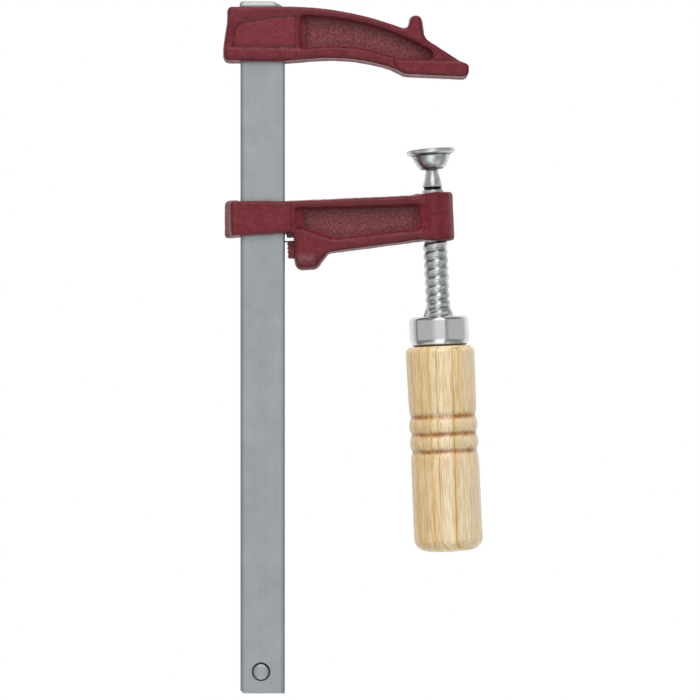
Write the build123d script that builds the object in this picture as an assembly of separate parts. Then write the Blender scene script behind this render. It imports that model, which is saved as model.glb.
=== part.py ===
from build123d import *
import os
from math import radians, sqrt, tan

# Screw clamp for woodwork, in millimetres.
# X runs from the bar out to the spindle, Y through the thickness, Z up the bar.
# The origin is on the fixed jaw's clamping face, on the spindle line of a square jaw.

CUT = 100.0                  # long enough for a cutter to pass right through any piece

# Bar
BAR_WIDTH = 18.0
BAR_THICKNESS = 6.0
BAR_EDGE_RADIUS = 1.2
BAR_FRONT = -60.5            # the throat is 60.5 deep, from here to the spindle line
BAR_REAR = BAR_FRONT - BAR_WIDTH
BAR_MIDDLE = (BAR_FRONT + BAR_REAR) / 2
BAR_TOP = 30.6
BAR_BOTTOM = -250.9
BAR_CORNER_CUT = 1.3
PEEN_SPREAD = 0.6            # the riveted end spreads this far over the jaw, each way
PEEN_CROWN = 0.8             # and narrows by this much to its struck top
PEEN_SLOPE_TOP = (-65.3, BAR_TOP)
PEEN_SLOPE_FOOT = (-58.0, 26.8)

# Stop pin near the bar's lower end
PIN_RADIUS = 3.75
PIN_STAND = 1.3              # how far the pin stands out of each face
PIN_CHAMFER = 0.6
PIN_X = -70.1
PIN_Z = -242.0

# Fixed jaw, half thicknesses measured from the parting plane
JAW_TOP = 28.6
JAW_FACE_SLOPE = 2.6         # degrees that the clamping face drops towards its tip
JAW_DRAFT = 4.0
JAW_TIP_HALF = 8.4
JAW_FLANGE_HALF = 7.6
JAW_RIM_HALF = 7.0
JAW_PANEL_HALF = 6.6
JAW_GROOVE_HALF = 5.9
JAW_CORNER_HALF = 5.8
JAW_WEB_HALF = 3.0
JAW_HEEL_X = -85.65
JAW_HEEL_Z = 5.6
JAW_TIP_X = 14.3
JAW_TIP_ROUND = 2.0

# Sliding jaw, drawn square to the bar
TILT = 2.6                   # degrees that it leans up at rest, loose on the bar
PIVOT_X = BAR_REAR           # it rocks about the loop's upper rear edge
PIVOT_Z = -53.0
ARM_DRAFT = 5.0
LOOP_HALF = 8.0
ARM_FLANGE_HALF = 7.6
ARM_BORDER_HALF = 7.1        # a narrow step runs round the recess inside the flange
ARM_BORDER_WIDTH = 1.1
ARM_WEB_HALF = 3.2
SLOT_CLEARANCE = 0.35        # beside the bar's flat faces
SLOT_FRONT = BAR_FRONT + 0.25
SLOT_REAR_TOP = BAR_REAR - 0.1
SLOT_REAR_BOTTOM = BAR_REAR - 0.75
BOSS_RADIUS = 8.0
BOSS_ROUND = 1.1
BOSS_TOP = -50.7
BOSS_BOTTOM = -70.5
LUG_HALF = 3.4
LUG_TOP = -68.2
LUG_BOTTOM = -74.85
TOOTH_COUNT = 4
TOOTH_DEPTH = 0.55
NOTCH_TOP = -66.2
NOTCH_RIGHT = -57.9

# Friction spring, a leaf between the toothed lug and the bar's edge
LEAF_LEFT = -61.08
LEAF_RIGHT = -55.0
LEAF_THICKNESS = 0.45
LEAF_WIDTH = 5.0
LEAF_PLAY = 0.3              # beside each edge of the leaf
LEAF_ROOM = 1.0              # free length past the leaf's root, for the rocking

# Spindle
SCREW_RADIUS = 5.0
SCREW_FIT = 0.05
SCREW_TOP = -49.2
SCREW_BOTTOM = -101.1
NECK_TOP_RADIUS = 2.6
NECK_BOTTOM_RADIUS = 4.15
BALL_RADIUS = 3.7
BALL_Z = -37.6
SHANK_RADIUS = 4.0
SHANK_END = -160.0
WING_REACH = 6.0
WING_HEIGHT = 5.2
WING_THICKNESS = 1.8
WING_TURN = 20.0             # degrees that the two swaged wings stand from the bar's plane

# Swivel pad and its retaining ring, drawn from the ball's centre
PAD_SWIVEL = 2.0             # degrees that the pad leans further than the spindle at rest
PAD_TOP = 4.6
PAD_RADIUS = 9.8
PAD_BOTTOM = -4.5
PAD_MOUTH = 3.9
SOCKET_RADIUS = BALL_RADIUS + 0.1
RING_RADIUS = 3.75
RING_WIRE_RADIUS = 0.45
RING_DROP = 1.95             # the sprung ring grips the ball's lower half
CHAMBER_RADIUS = sqrt(RING_RADIUS**2 + RING_DROP**2) + RING_WIRE_RADIUS + 0.02

# Ferrule and handle
FERRULE_RADIUS = 12.15
FERRULE_BOTTOM = -112.9
FERRULE_WALL = 0.9
FERRULE_TOP_ROUND = 1.8
NECK_CHAMFER = 1.0
CURL_HEIGHT = 2.7            # the ferrule's lower rim is rolled in over this height
CURL_DEPTH = 0.55
SHOULDER_RADIUS = 12.5
SHOULDER_ROUND = 2.5
GRIP_TOP_RADIUS = 14.05
GRIP_WAIST_RADIUS = 13.8
GRIP_END_RADIUS = 14.0
GROOVE_RADIUS = 12.95
GROOVES = (-141.8, -148.95, -155.9)
GROOVE_RUN = 5.2             # the grip curves into the outer grooves over this length
HANDLE_END = -196.7
END_ROUND = 6.5


def stand_up(flat):
    """Turn what was drawn flat, with Z as its thickness, up into the clamp's own plane."""
    return Rot(90, 0, 0) * flat


def both_sides(half):
    return half + mirror(half, Plane.XY)


def lean(part):
    """Lean a piece of the sliding group, drawn square to the bar, to where it rests."""
    pivot = Pos(PIVOT_X, 0, PIVOT_Z)
    return pivot * Rot(0, -TILT, 0) * pivot.inverse() * part


def clear_above(region, level):
    """Everything over a flat region from one thickness outward, on both sides."""
    return both_sides(Pos(0, 0, level) * extrude(region, amount=JAW_TIP_HALF))


def pocket(region, floor, mouth, draft):
    """A cored recess on both sides: its walls open outward from the floor."""
    core = Rot(180, 0, 0) * mirror(extrude(region, amount=mouth - floor, taper=draft), Plane.XZ)
    return both_sides(Pos(0, 0, mouth) * core)


def polygon(*points):
    return make_face(Polyline(*points, close=True))


def rounded(sketch, radius, *corners):
    """Round the corners of a flat outline that lie nearest to the given points."""
    near = [sketch.vertices().sort_by_distance(Vector(*corner))[0] for corner in corners]
    return fillet(near, radius)


def bar_section(grow=0.0):
    width = BAR_WIDTH + 2 * grow
    thickness = BAR_THICKNESS + 2 * grow
    return Pos(BAR_MIDDLE, 0) * RectangleRounded(width, thickness, BAR_EDGE_RADIUS)


def make_bar():
    length = JAW_TOP - BAR_BOTTOM
    bar = Pos(0, 0, BAR_BOTTOM) * extrude(bar_section(), amount=length)
    spread = Pos(0, 0, JAW_TOP) * bar_section(PEEN_SPREAD)
    struck = Pos(0, 0, BAR_TOP) * bar_section(PEEN_SPREAD - PEEN_CROWN)
    bar += loft([spread, struck])
    over = BAR_TOP + 1
    slope = polygon(
        PEEN_SLOPE_TOP, PEEN_SLOPE_FOOT, (PEEN_SLOPE_FOOT[0], over), (PEEN_SLOPE_TOP[0], over)
    )
    above_jaw = Pos(0, 0, JAW_TOP) * Box(CUT, CUT, CUT, align=(Align.MAX, Align.CENTER, Align.MIN))
    bar -= stand_up(extrude(slope, amount=CUT, both=True)) & above_jaw
    corner = polygon(
        (BAR_REAR - 1, BAR_BOTTOM - 1),
        (BAR_REAR + BAR_CORNER_CUT, BAR_BOTTOM - 1),
        (BAR_REAR + BAR_CORNER_CUT, BAR_BOTTOM),
        (BAR_REAR, BAR_BOTTOM + BAR_CORNER_CUT),
        (BAR_REAR - 1, BAR_BOTTOM + BAR_CORNER_CUT),
    )
    bar -= stand_up(extrude(corner, amount=CUT, both=True))
    return bar - Pos(PIN_X, 0, PIN_Z) * Rot(90, 0, 0) * Cylinder(PIN_RADIUS, CUT)


def make_stop_pin():
    pin = Cylinder(PIN_RADIUS, BAR_THICKNESS + 2 * PIN_STAND)
    pin = chamfer(pin.edges().filter_by(GeomType.CIRCLE), PIN_CHAMFER)
    return Pos(PIN_X, 0, PIN_Z) * Rot(90, 0, 0) * pin


def face_height(x):
    """Height of the fixed jaw's clamping face, which passes through the origin."""
    return -x * tan(radians(JAW_FACE_SLOPE))


def jaw_outline():
    face_left = -11.0
    spare = 1.5 * JAW_TIP_HALF * tan(radians(JAW_DRAFT))
    tip_x = JAW_TIP_X + spare
    with BuildSketch() as outline:
        with BuildLine():
            Polyline((JAW_HEEL_X, 12), (JAW_HEEL_X, JAW_HEEL_Z), (-60, 5.5), (-50, 6.25))
            ThreePointArc((-50, 6.25), (-34, 6.3), (-18, 3.05))
            Polyline(
                (-18, 3.05),
                (face_left, face_height(face_left) - spare),
                (tip_x, face_height(tip_x) - spare),
                (tip_x, 4.6),
                (11.0, 6.3),
                (-3.4, 15.5),
                (-4.75, 25.0),
                (-9.6, 25.0),
                (-10.5, 19.0),
            )
            ThreePointArc((-10.5, 19.0), (-36.6, 26.5), (-60, JAW_TOP))
            Polyline((-60, JAW_TOP), (-83.9, JAW_TOP), (-84.1, 22), (JAW_HEEL_X, 12))
        make_face()
    shape = outline.sketch
    shape = rounded(shape, 2.1, (JAW_HEEL_X, JAW_HEEL_Z))
    shape = rounded(shape, 12, (-60, 5.5), (-50, 6.25), (-60, JAW_TOP), (JAW_HEEL_X, 12), (-84.1, 22))
    shape = rounded(shape, 5, (-3.4, 15.5))
    shape = rounded(shape, 2.0, (-4.75, 25), (-9.6, 25), (-10.5, 19.0))
    return rounded(shape, 0.8, (-83.9, JAW_TOP))


def jaw_web_region():
    with BuildSketch() as region:
        with BuildLine():
            Line((-52, 11), (-49, 11.1))
            ThreePointArc((-49, 11.1), (-36, 11.5), (-14.7, 6.6))
            Polyline((-14.7, 6.6), (-0.3, 6.3), (0, 9.6), (-1.6, 11))
            ThreePointArc((-1.6, 11), (-23.5, 20.3), (-49, 24.6))
            Polyline((-49, 24.6), (-52, 24.8), (-52, 11))
        make_face()
    return rounded(region.sketch, 1.2, (-0.3, 6.3), (0, 9.6), (-1.6, 11))


def jaw_above_flange():
    """All of the jaw over the lower flange, whose front stands proud of the rest."""
    with BuildSketch() as region:
        with BuildLine():
            Polyline((-90, 11.1), (-62, 10.8), (-57, 10.3), (-52, 11))
            ThreePointArc((-52, 11), (-36, 11.5), (-14.7, 6.6))
            Polyline((-14.7, 6.6), (4.8, 5.8), (20, 5.6), (20, 40), (-90, 40), (-90, 11.1))
        make_face()
    return region.sketch


def jaw_outer_corner():
    """The low corner block outside the rim's curve, above the bar's rear edge."""
    with BuildSketch() as region:
        with BuildLine():
            ThreePointArc((-86, 19.5), (-78, 25.4), (-65, 29))
            Polyline((-65, 29), (-65, 32), (-90, 32), (-90, 19.5), (-86, 19.5))
        make_face()
    return region.sketch


def make_fixed_jaw():
    body = both_sides(extrude(jaw_outline(), amount=JAW_TIP_HALF, taper=JAW_DRAFT))
    left_of_tip = polygon((-90, -5), (-13, -5), (-16.5, 8), (-16.5, 40), (-90, 40))
    body -= clear_above(left_of_tip, JAW_FLANGE_HALF)
    body -= clear_above(jaw_above_flange(), JAW_RIM_HALF)
    body -= clear_above(jaw_outer_corner(), JAW_CORNER_HALF)
    panel = polygon(
        (-82.1, 11.3), (-55.3, 10.8), (-55.3, 25.2), (-65, 24.5), (-79.4, 22), (-81.8, 18)
    )
    panel = fillet(panel.vertices(), 1.0)
    body -= pocket(panel, JAW_GROOVE_HALF, JAW_FLANGE_HALF, 30)
    raised = offset(panel, amount=-0.9)
    body += both_sides(extrude(raised, amount=JAW_PANEL_HALF, taper=2))
    body -= pocket(jaw_web_region(), JAW_WEB_HALF, JAW_TIP_HALF, 8)
    slope = polygon((-55.2, JAW_RIM_HALF), (-51.4, JAW_WEB_HALF), (-50, JAW_RIM_HALF + 1))
    wall = Pos(0, 0, 11.4) * extrude(slope + mirror(slope, Plane.XZ), amount=13)
    jaw = stand_up(body) - wall
    ground_off = Box(2 * CUT, CUT, CUT, align=(Align.CENTER, Align.CENTER, Align.MAX))
    jaw -= Rot(0, JAW_FACE_SLOPE, 0) * ground_off
    jaw -= Pos(JAW_TIP_X, 0, 0) * Box(CUT, CUT, CUT, align=(Align.MIN, Align.CENTER, Align.CENTER))
    toe = jaw.edges().filter_by(Axis.Y).sort_by_distance((JAW_TIP_X, 0, face_height(JAW_TIP_X)))[0]
    jaw = fillet(toe, JAW_TIP_ROUND)
    return jaw - Pos(0, 0, -CUT / 2) * extrude(bar_section(), amount=CUT)


def arm_outline():
    shape = polygon(
        (-85.0, -49.9),
        (-85.65, -65.5),
        (NOTCH_RIGHT, -65.0),
        (-57.6, -76.5),
        (-56.6, -79.9),
        (-48.6, -79.9),
        (-43.4, -73.7),
        (0, -69.9),
        (0, -51.3),
        (-56, -51.3),
    )
    shape = rounded(shape, 1.3, (-85.0, -49.9), (-85.65, -65.5))
    shape = rounded(shape, 20, (-56, -51.3))
    shape = rounded(shape, 1.6, (-56.6, -79.9), (-48.6, -79.9), (-43.4, -73.7))
    return rounded(shape, 3, (-57.6, -76.5))


def arm_recess():
    """The arm's recess, which runs into the boss's place, and the narrow step round it."""
    knee, boss_low, boss_high = (-41.4, -68.0), (-2.5, -65.4), (-2.5, -55.6)
    outline = polygon((-53.5, -54.8), (-53.5, -62.9), knee, boss_low, boss_high)
    border = offset(outline, amount=ARM_BORDER_WIDTH, kind=Kind.INTERSECTION)
    web = pocket(rounded(outline, 1.3, knee), ARM_WEB_HALF, LOOP_HALF, 8)
    return web + pocket(rounded(border, 2.4, knee), ARM_BORDER_HALF, LOOP_HALF, 20)


def bite_lug():
    """The narrow toothed lug that bites on the bar's front edge under load."""
    pitch = (LUG_TOP - LUG_BOTTOM) / TOOTH_COUNT
    root = SLOT_FRONT + TOOTH_DEPTH
    points = [(-56.0, LUG_BOTTOM), (-56.0, LUG_TOP)]
    for tooth in range(TOOTH_COUNT):
        top = LUG_TOP - tooth * pitch
        points += [(root, top), (SLOT_FRONT, top - 0.35 * pitch), (SLOT_FRONT, top - 0.6 * pitch)]
    points.append((root, LUG_BOTTOM))
    return extrude(polygon(*points), amount=LUG_HALF, both=True)


def bar_slot():
    """The cored slot for the bar, tapered so that the jaw can rock on it."""
    half = BAR_THICKNESS / 2 + SLOT_CLEARANCE
    sides = polygon(
        (SLOT_REAR_TOP, -45), (SLOT_REAR_TOP, -51.5), (SLOT_REAR_BOTTOM, -65.6),
        (SLOT_REAR_BOTTOM, -70), (SLOT_FRONT, -70), (SLOT_FRONT, -45),
    )
    return extrude(sides, amount=half, both=True)


def make_sliding_jaw():
    body = both_sides(extrude(arm_outline(), amount=LOOP_HALF, taper=ARM_DRAFT))
    past_loop = polygon((-57.6, -40), (-58.4, -90), (20, -90), (20, -40))
    body -= clear_above(past_loop, ARM_FLANGE_HALF)
    body -= arm_recess()
    body += bite_lug()
    front_wall = (NOTCH_RIGHT - SLOT_FRONT + 1, 3, 2 * LOOP_HALF - 3)
    body += Pos(SLOT_FRONT, NOTCH_TOP, 0) * Box(*front_wall, align=(Align.MIN, Align.MIN, Align.CENTER))
    seat_left = NOTCH_RIGHT - 1
    seat_size = (LEAF_RIGHT + LEAF_ROOM - seat_left, NOTCH_TOP - LUG_TOP, LEAF_WIDTH + 2 * LEAF_PLAY)
    body -= Pos(seat_left, LUG_TOP, 0) * Box(*seat_size, align=(Align.MIN, Align.MIN, Align.CENTER))
    body -= bar_slot()
    jaw = stand_up(body)
    slope = polygon((-57.0, LOOP_HALF), (-51.8, ARM_WEB_HALF), (-51.0, LOOP_HALF))
    jaw -= Pos(0, 0, -63.2) * extrude(slope + mirror(slope, Plane.XZ), amount=8.4)
    rear = polygon((-83.0, LOOP_HALF), (-85.9, 0.8), (-88, 0.8), (-88, LOOP_HALF + 1))
    jaw -= Pos(0, 0, -70) * extrude(rear + mirror(rear, Plane.XZ), amount=25)
    toe = polygon((ARM_FLANGE_HALF, -75.6), (4.6, -80.2), (9, -80.2), (9, -75.6))
    toe = Plane.YZ * (toe + mirror(toe, Plane.YZ))
    jaw -= Pos(-60, 0, 0) * extrude(toe, amount=20)
    boss = Pos(0, 0, BOSS_BOTTOM) * Cylinder(
        BOSS_RADIUS, BOSS_TOP - BOSS_BOTTOM, align=(Align.CENTER, Align.CENTER, Align.MIN)
    )
    boss = fillet(boss.edges().filter_by(GeomType.CIRCLE), BOSS_ROUND)
    jaw += boss
    jaw -= Pos(0, 0, BOSS_BOTTOM) * Cylinder(SCREW_RADIUS + SCREW_FIT, CUT)
    return lean(jaw)


def make_friction_spring():
    length = LEAF_RIGHT - LEAF_LEFT
    leaf = extrude(RectangleRounded(length, LEAF_WIDTH, 0.5), amount=LEAF_THICKNESS)
    return lean(Pos((LEAF_LEFT + LEAF_RIGHT) / 2, 0, LUG_TOP + 0.05) * leaf)


def turned(profile):
    """Turn a half profile, drawn as radius and height, round the spindle's axis."""
    return revolve(Plane.XZ * profile, Axis.Z)


def make_spindle():
    neck_start = BALL_Z - sqrt(BALL_RADIUS**2 - NECK_TOP_RADIUS**2)
    profile = polygon(
        (0, neck_start + 1),
        (NECK_TOP_RADIUS, neck_start + 1),
        (NECK_TOP_RADIUS, neck_start),
        (NECK_BOTTOM_RADIUS, SCREW_TOP + 0.8),
        (SCREW_RADIUS, SCREW_TOP),
        (SCREW_RADIUS, SCREW_BOTTOM),
        (SHANK_RADIUS, SCREW_BOTTOM),
        (SHANK_RADIUS, SHANK_END + 1),
        (SHANK_RADIUS - 1, SHANK_END),
        (0, SHANK_END),
    )
    spindle = turned(profile) + Pos(0, 0, BALL_Z) * Sphere(BALL_RADIUS)
    wing = polygon(
        (0, SCREW_BOTTOM),
        (WING_REACH, SCREW_BOTTOM),
        (WING_REACH - 0.6, SCREW_BOTTOM + 2),
        (SCREW_RADIUS, SCREW_BOTTOM + WING_HEIGHT),
        (0, SCREW_BOTTOM + WING_HEIGHT),
    )
    wing = stand_up(extrude(wing, amount=WING_THICKNESS / 2, both=True))
    wings = wing + Rot(0, 0, 180) * wing
    return lean(spindle + Rot(0, 0, -WING_TURN) * wings)


def make_pad_retaining_ring():
    wire = RegularPolygon(RING_WIRE_RADIUS, 8)
    ring = turned(Pos(RING_RADIUS, -RING_DROP) * wire)
    return lean(Pos(0, 0, BALL_Z) * ring)


def make_swivel_pad():
    edge, edge_low, under = PAD_RADIUS - 0.5, 3.0, (7.7, 2.1)
    foot = (PAD_MOUTH + 0.5, PAD_BOTTOM)
    with BuildSketch() as cup:
        with BuildLine():
            Line((0, PAD_TOP), (edge, PAD_TOP))
            ThreePointArc((edge, PAD_TOP), (PAD_RADIUS, (PAD_TOP + edge_low) / 2), (edge, edge_low))
            Line((edge, edge_low), under)
            ThreePointArc(under, (6.5, -1.4), foot)
            Polyline(foot, (0, PAD_BOTTOM), (0, PAD_TOP))
        make_face()
    lower_half = Pos(0, 0, 0.2) * Box(CUT, CUT, CUT, align=(Align.CENTER, Align.CENTER, Align.MAX))
    mouth_length = 3.0
    mouth = Cylinder(PAD_MOUTH, mouth_length, align=(Align.CENTER, Align.CENTER, Align.MIN))
    pad = turned(cup.sketch)
    pad -= Sphere(SOCKET_RADIUS) + (Sphere(CHAMBER_RADIUS) & lower_half)
    pad -= Pos(0, 0, PAD_BOTTOM) * mouth
    return lean(Pos(0, 0, BALL_Z) * Rot(0, -PAD_SWIVEL, 0) * pad)


def make_ferrule():
    """A drawn cup with its lower rim rolled into the handle's neck."""
    top, inner_top = SCREW_BOTTOM, SCREW_BOTTOM - FERRULE_WALL
    inner = FERRULE_RADIUS - FERRULE_WALL
    curl_top = FERRULE_BOTTOM + CURL_HEIGHT
    round_start = (FERRULE_RADIUS - FERRULE_TOP_ROUND, top)
    round_end = (FERRULE_RADIUS, top - FERRULE_TOP_ROUND)
    rim = FERRULE_RADIUS - CURL_DEPTH
    with BuildSketch() as half:
        with BuildLine():
            Line((SHANK_RADIUS, top), round_start)
            TangentArc(round_start, round_end, tangent=(1, 0))
            Line(round_end, (FERRULE_RADIUS, curl_top))
            TangentArc((FERRULE_RADIUS, curl_top), (rim, FERRULE_BOTTOM), tangent=(0, -1))
            Polyline(
                (rim, FERRULE_BOTTOM),
                (rim - FERRULE_WALL, FERRULE_BOTTOM),
                (inner, curl_top),
                (inner, inner_top - NECK_CHAMFER),
                (inner - NECK_CHAMFER, inner_top),
                (SHANK_RADIUS, inner_top),
                (SHANK_RADIUS, top),
            )
        make_face()
    return lean(turned(half.sketch))


def make_handle():
    """The turned handle, with a neck for the ferrule and three burnt grooves."""
    neck, neck_top = FERRULE_RADIUS - FERRULE_WALL, SCREW_BOTTOM - FERRULE_WALL
    curl_top, curl = FERRULE_BOTTOM + CURL_HEIGHT, neck - CURL_DEPTH - 0.05
    shoulder = (SHOULDER_RADIUS, FERRULE_BOTTOM)
    grip_top = (GRIP_TOP_RADIUS, FERRULE_BOTTOM - SHOULDER_ROUND)
    waist = (GRIP_WAIST_RADIUS, GROOVES[0] + GROOVE_RUN)
    swell = (GRIP_END_RADIUS, GROOVES[-1] - GROOVE_RUN)
    end_side = (GRIP_END_RADIUS, HANDLE_END + END_ROUND)
    end_face = (GRIP_END_RADIUS - END_ROUND, HANDLE_END)
    bead = GRIP_WAIST_RADIUS + 0.15
    with BuildSketch() as half:
        with BuildLine():
            Polyline(
                (SHANK_RADIUS, neck_top),
                (neck - NECK_CHAMFER, neck_top),
                (neck, neck_top - NECK_CHAMFER),
                (neck, curl_top),
                (curl, curl_top),
                (curl, FERRULE_BOTTOM),
                shoulder,
            )
            TangentArc(grip_top, shoulder, tangent=(0, 1))
            Line(grip_top, waist)
            TangentArc(waist, (GROOVE_RADIUS, GROOVES[0]), tangent=(0, -1))
            for upper, lower in zip(GROOVES, GROOVES[1:]):
                crown = (bead, (upper + lower) / 2)
                ThreePointArc((GROOVE_RADIUS, upper), crown, (GROOVE_RADIUS, lower))
            TangentArc(swell, (GROOVE_RADIUS, GROOVES[-1]), tangent=(0, 1))
            Line(swell, end_side)
            TangentArc(end_side, end_face, tangent=(0, -1))
            Polyline(end_face, (0, HANDLE_END), (0, SHANK_END))
            Polyline((0, SHANK_END), (SHANK_RADIUS, SHANK_END), (SHANK_RADIUS, neck_top))
        make_face()
    return lean(turned(half.sketch))


parts = {
    "bar": make_bar(),
    "stop_pin": make_stop_pin(),
    "fixed_jaw": make_fixed_jaw(),
    "sliding_jaw": make_sliding_jaw(),
    "friction_spring": make_friction_spring(),
    "spindle": make_spindle(),
    "pad_retaining_ring": make_pad_retaining_ring(),
    "swivel_pad": make_swivel_pad(),
    "ferrule": make_ferrule(),
    "handle": make_handle(),
}

os.makedirs("parts", exist_ok=True)
for name, shape in parts.items():
    export_step(shape, f"parts/{name}.step")
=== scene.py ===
import math
from functools import partial

import bmesh
import bpy
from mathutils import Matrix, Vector


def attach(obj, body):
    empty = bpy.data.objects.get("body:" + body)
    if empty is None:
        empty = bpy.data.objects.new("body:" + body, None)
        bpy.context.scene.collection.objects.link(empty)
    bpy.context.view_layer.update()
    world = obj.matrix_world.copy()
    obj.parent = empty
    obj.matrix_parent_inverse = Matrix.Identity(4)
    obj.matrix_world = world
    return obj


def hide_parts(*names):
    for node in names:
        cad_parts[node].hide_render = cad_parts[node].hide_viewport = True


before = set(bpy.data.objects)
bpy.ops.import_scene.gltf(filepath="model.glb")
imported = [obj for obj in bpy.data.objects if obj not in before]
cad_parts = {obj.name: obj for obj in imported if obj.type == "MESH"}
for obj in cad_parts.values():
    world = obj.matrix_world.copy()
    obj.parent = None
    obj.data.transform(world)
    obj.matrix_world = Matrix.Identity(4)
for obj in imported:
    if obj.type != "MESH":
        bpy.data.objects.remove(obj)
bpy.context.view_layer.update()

mm = 0.001  # Blender's metre, so every size below is written in millimetres
print("frame loaded:", ", ".join(sorted(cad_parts)))


# Selecting and tidying

def deselectAll():
    if bpy.context.object and bpy.context.object.mode != "OBJECT":
        bpy.ops.object.mode_set(mode="OBJECT")
    bpy.ops.object.select_all(action="DESELECT")


def activate(piece):
    deselectAll()
    piece.select_set(True)
    bpy.context.view_layer.objects.active = piece


def startEdit(piece, mode="FACE"):
    activate(piece)
    bpy.ops.object.mode_set(mode="EDIT")
    bpy.ops.mesh.select_mode(type=mode)
    bpy.ops.mesh.select_all(action="DESELECT")


def endEdit():
    bpy.ops.object.mode_set(mode="OBJECT")


def pickAll():
    bpy.ops.mesh.select_all(action="SELECT")


def pick(piece, kind, test):
    # selects, in edit mode, only the verts, edges or faces that pass the test
    bpy.ops.mesh.select_all(action="DESELECT")
    shape = bmesh.from_edit_mesh(piece.data)
    for part in getattr(shape, kind):
        if test(part):
            part.select_set(True)
    shape.select_flush_mode()
    bmesh.update_edit_mesh(piece.data)


def addBlock(name, centre, size):
    deselectAll()
    bpy.ops.mesh.primitive_cube_add(size=1, location=[c * mm for c in centre])
    piece = bpy.context.object
    piece.name = name
    piece.scale = [s * mm for s in size]
    settle(piece)
    return piece


def extrude(across, up):
    bpy.ops.mesh.extrude_region_move(TRANSFORM_OT_translate={"value": (across * mm, 0, up * mm)})


def sliceAt(point, normal, keepAll=False):
    # cuts the whole mesh with a plane and, as a rule, takes away what lies beyond it
    pickAll()
    bpy.ops.mesh.bisect(
        plane_co=[p * mm for p in point], plane_no=normal, use_fill=not keepAll, clear_outer=not keepAll
    )


def runsAlong(edge, axis):
    way = (edge.verts[1].co - edge.verts[0].co).normalized()
    return abs(way[axis]) > 0.999


def settle(piece):
    # puts the piece's place, turn and size into its mesh
    activate(piece)
    bpy.ops.object.transform_apply(location=True, rotation=True, scale=True)


def applyModifier(piece, kind, **settings):
    activate(piece)
    modifier = piece.modifiers.new(kind.title(), kind)
    for name, value in settings.items():
        setattr(modifier, name, value)
    bpy.ops.object.modifier_apply(modifier=modifier.name)


def cutWith(piece, cutter, operation="DIFFERENCE"):
    applyModifier(piece, "BOOLEAN", object=cutter, operation=operation, solver="EXACT")
    bpy.data.objects.remove(cutter, do_unlink=True)


def closeUp(piece, apart=0.01):
    # merges doubles and turns every face outwards
    startEdit(piece, "VERT")
    pickAll()
    bpy.ops.mesh.remove_doubles(threshold=apart * mm)
    bpy.ops.mesh.normals_make_consistent(inside=False)
    endEdit()


def shadeSmooth(piece, degrees, flatFaces=False):
    activate(piece)
    bpy.ops.object.shade_smooth_by_angle(angle=math.radians(degrees))
    if flatFaces:  # rounded edges no longer tint the large faces beside them
        applyModifier(piece, "WEIGHTED_NORMAL", keep_sharp=True, weight=100)


def atEach(piece, rule):
    # what the rule gives for each vertex, by its place in millimetres
    return [rule(vert.co / mm) for vert in piece.data.vertices]


def addReading(piece, name, values):
    # a number for each vertex, which a material can read
    reading = piece.data.attributes.new(name, "FLOAT", "POINT")
    reading.data.foreach_set("value", values)


def takePlace(piece, body, slot, material, *nodes):
    settle(piece)
    piece.data.materials.clear()
    piece.data.materials.append(material)
    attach(piece, body)
    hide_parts(*nodes)
    print(piece.name, "made,", len(piece.data.polygons), "faces")


# The sliding group is made square to the bar and then leaned up to its place of rest

leaning = {
    "degrees": 2.6,
    "pivot": (-78.5, 0.0, -53.0),
}


def lean(piece, degrees=leaning["degrees"], pivot=leaning["pivot"]):
    activate(piece)
    bpy.ops.transform.rotate(
        value=math.radians(degrees),
        orient_axis="Y",
        center_override=[p * mm for p in pivot],
    )
    settle(piece)


# Materials

def linear(hexColour):
    channels = [int(hexColour[place:place + 2], 16) / 255 for place in (1, 3, 5)]
    return [c / 12.92 if c <= 0.04045 else ((c + 0.055) / 1.055) ** 2.4 for c in channels] + [1.0]


def addNode(tree, kind, settings=None):
    # each setting is the value of a property or an input, or else the node or output that feeds the input
    node = tree.nodes.new("ShaderNode" + kind)
    for name, value in (settings or {}).items():
        if name == "stops":
            ramp = node.color_ramp
            while len(ramp.elements) < len(value):
                ramp.elements.new(0.5)
            for element, (position, colour) in zip(ramp.elements, value):
                element.position = position
                element.color = linear(colour)
        elif isinstance(name, str) and hasattr(node, name):
            setattr(node, name, value)
        else:
            feed(tree, findInput(node, name), value)
    return node


def findInput(node, name):
    # a Mix node has an input of one name for each kind of data, and only one of them is in use
    if isinstance(name, int):
        return node.inputs[name]
    return next(socket for socket in node.inputs if socket.enabled and socket.name == name)


def feed(tree, socket, value):
    if isinstance(value, bpy.types.Node):
        value = next(output for output in value.outputs if output.enabled)
    if isinstance(value, bpy.types.NodeSocket):
        tree.links.new(value, socket)
    else:
        socket.default_value = linear(value) if isinstance(value, str) else value


def startNodes(owner):
    # empties the nodes of a material or world, and gives addNode for use on them
    owner.use_nodes = True
    owner.node_tree.nodes.clear()
    return partial(addNode, owner.node_tree)


def newMaterial(name, addSurface, values):
    # addSurface adds the nodes that give the finish and returns the last of them
    material = bpy.data.materials.new(name)
    add = startNodes(material)
    place = add("TexCoord").outputs["Object"]
    add("OutputMaterial", {"Surface": addSurface(add, place, values)})
    return material


def layOver(add, colour, reading, hexColour):
    # covers the first colour with another one as far as a reading on the mesh says
    amount = add("Attribute", {"attribute_name": reading})
    return add("Mix", {"data_type": "RGBA", "Factor": amount.outputs["Fac"], "A": colour, "B": hexColour})


def patternSize(size):
    # a noise texture's scale for features of that size in millimetres
    return 1 / (size * mm)


def drawnOut(add, place, width, length, detail=3.0):
    # noise that is much longer than wide, upright in the part
    stretched = add("Mapping", {"Scale": (1, 1, width / length), "Vector": place})
    return add("TexNoise", {"Scale": patternSize(width), "Detail": detail, "Vector": stretched})


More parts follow.
